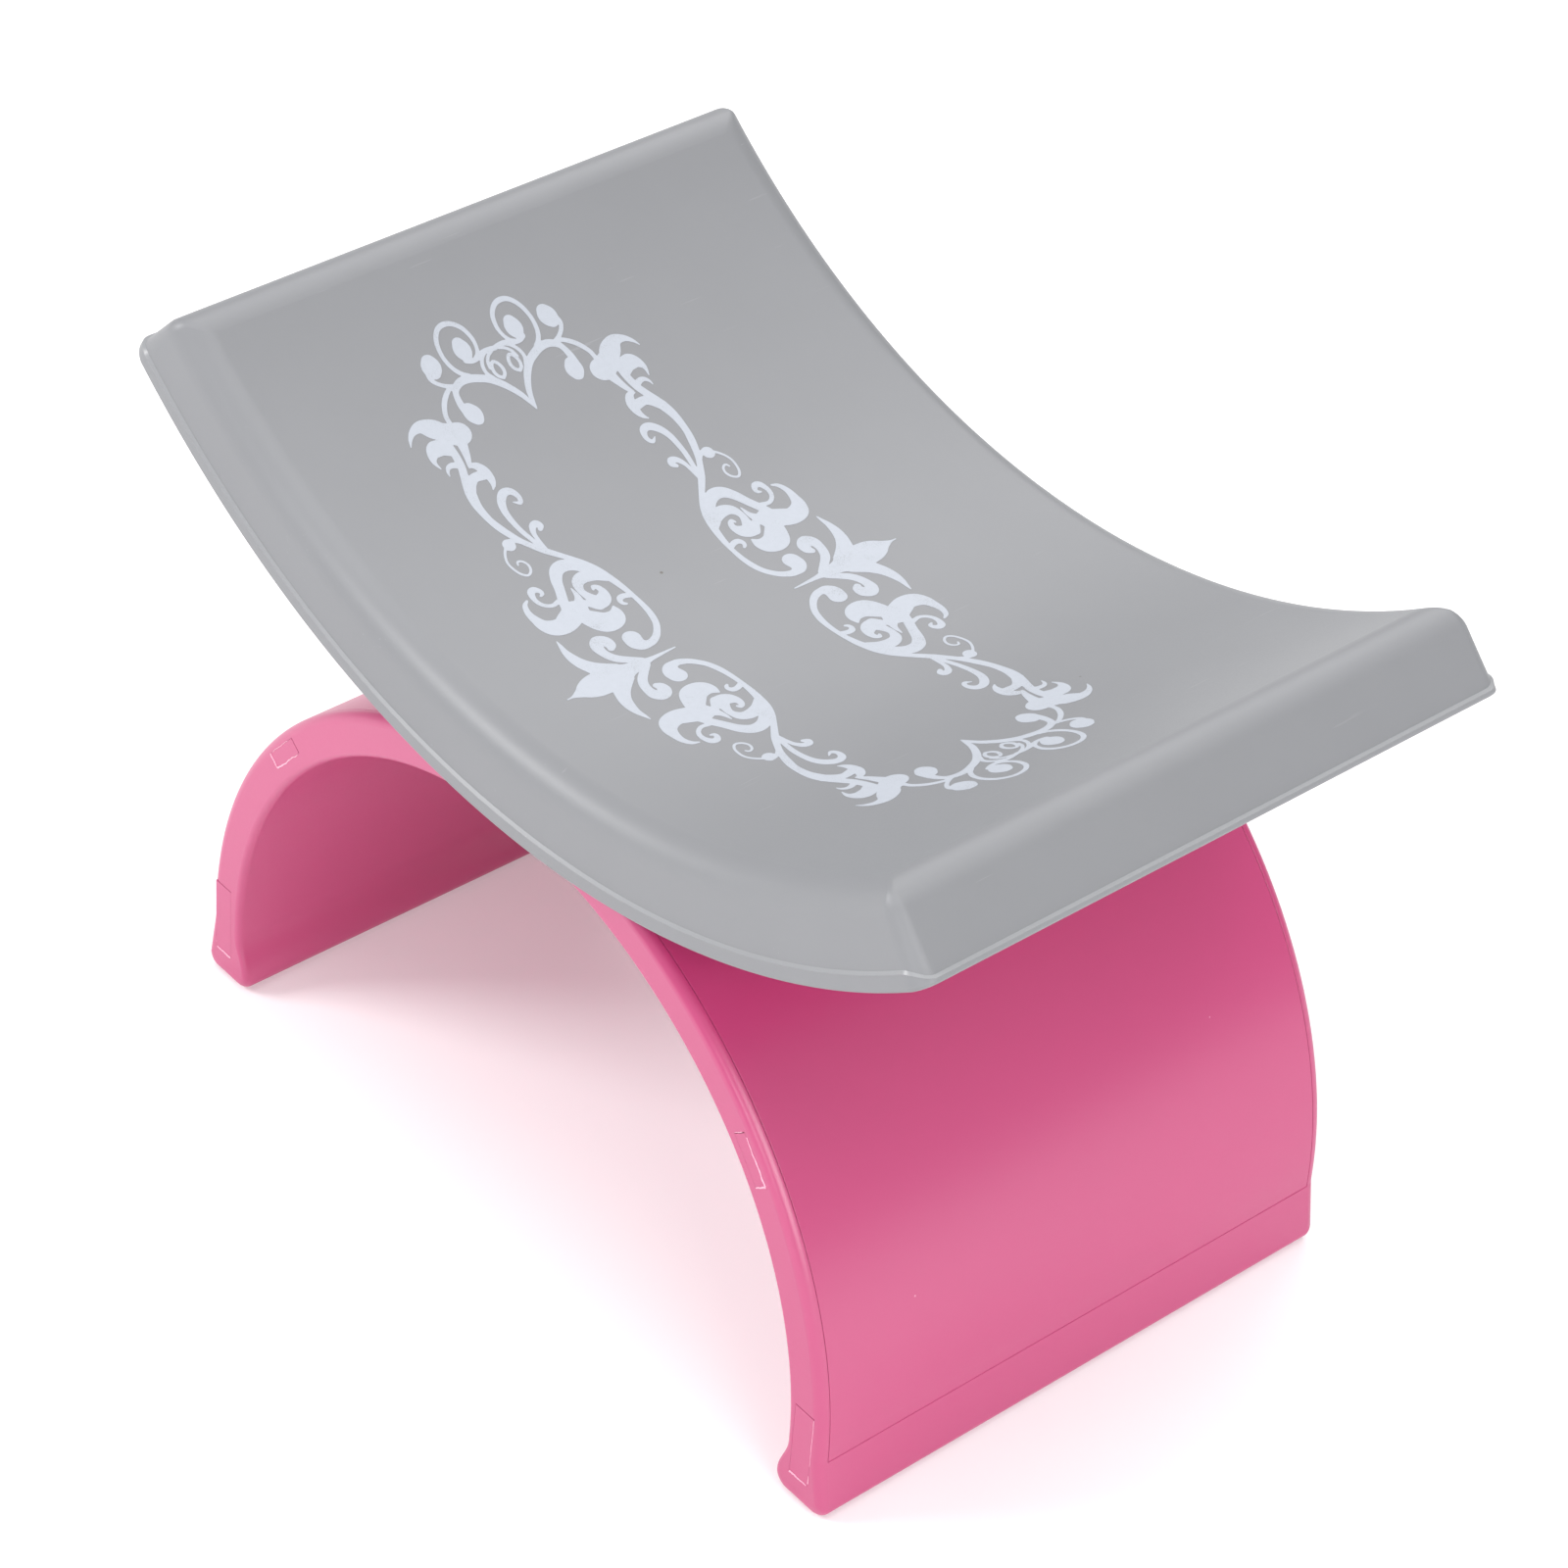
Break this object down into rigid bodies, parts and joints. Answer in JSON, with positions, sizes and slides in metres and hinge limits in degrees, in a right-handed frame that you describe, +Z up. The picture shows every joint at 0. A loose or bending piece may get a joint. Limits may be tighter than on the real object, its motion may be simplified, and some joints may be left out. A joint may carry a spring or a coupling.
{
  "type": "manicure hand rest",
  "caption": "Free-standing manicure hand rest: a concave silicone wrist pad with a printed scroll frame on a hollow plastic arch.",
  "frame": {"origin": "on the table, below the middle of the pad", "axes": "+X along the pad's long, bent direction, +Y along the arch's tunnel, +Z up"},
  "size_m": [0.2252, 0.1392, 0.157],
  "materials": {
    "grey_silicone": "soft-touch satin silicone",
    "white_foam": "open-cell foam",
    "pink_plastic": "semi-gloss moulded plastic",
    "zinc_steel": "zinc plated",
    "grey_rubber": "matte"
  },
  "bodies": {
    "root": {"pad_cover": "grey_silicone", "pad_foam": "white_foam", "pad_tray": "pink_plastic", "arch_cover": "pink_plastic", "arch_body": "pink_plastic", "crown_screw_1": "zinc_steel", "crown_screw_2": "zinc_steel", "crown_screw_3": "zinc_steel", "crown_screw_4": "zinc_steel", "foot_strip_left": "grey_rubber", "foot_strip_right": "grey_rubber"}
  },
  "joints": []
}
